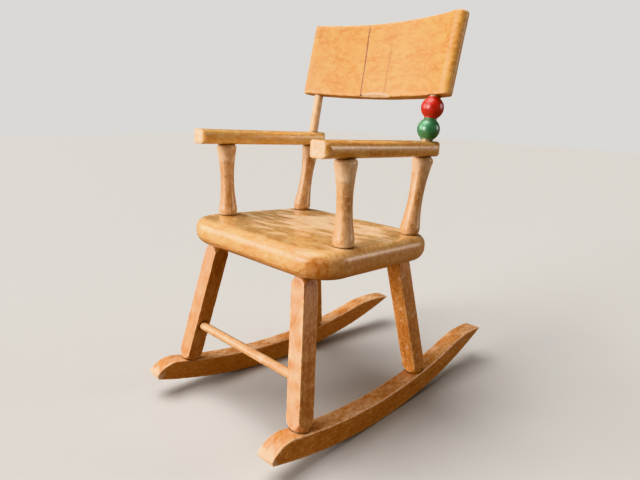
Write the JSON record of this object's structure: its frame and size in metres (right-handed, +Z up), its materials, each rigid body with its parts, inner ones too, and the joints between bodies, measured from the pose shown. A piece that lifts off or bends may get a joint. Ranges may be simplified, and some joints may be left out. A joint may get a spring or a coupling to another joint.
{
  "type": "dolls rocking chair",
  "caption": "Doll's wooden rocking chair: curved backboard on raked posts, armrests on turned supports, splayed square legs on curved rockers, painted beads on a post.",
  "frame": {"origin": "on the floor, in the chair's plane of symmetry, halfway between the front and back tips of the rockers", "axes": "+Z up, the chair faces -Y, +X is the right-hand side as seen from the front, which is the side with the beads"},
  "size_m": [0.1892, 0.3193, 0.3607],
  "materials": {
    "beech": "aged clear varnish, worn satin",
    "green_paint": "gloss paint on wood",
    "red_paint": "gloss paint on wood"
  },
  "bodies": {
    "chair": {"seat": "beech", "front_stretcher": "beech", "backboard": "beech", "rocker_left": "beech", "rocker_right": "beech", "front_leg_left": "beech", "front_leg_right": "beech", "back_leg_left": "beech", "back_leg_right": "beech", "arm_support_left": "beech", "arm_support_right": "beech", "back_post_left": "beech", "back_post_right": "beech", "armrest_left": "beech", "armrest_right": "beech"},
    "bead_green": {"bead_green": "green_paint"},
    "bead_red": {"bead_red": "red_paint"}
  },
  "joints": [
    {"name": "bead_green_spin", "type": "hinge", "parent": "chair", "child": "bead_green", "pos_m": [0.07384, 0.03437, 0.26025], "axis": [0.0057, 0.1874, 0.9823], "continuous": true},
    {"name": "bead_red_spin", "type": "hinge", "parent": "chair", "child": "bead_red", "pos_m": [0.07395, 0.03792, 0.27885], "axis": [0.0057, 0.1874, 0.9823], "continuous": true}
  ]
}
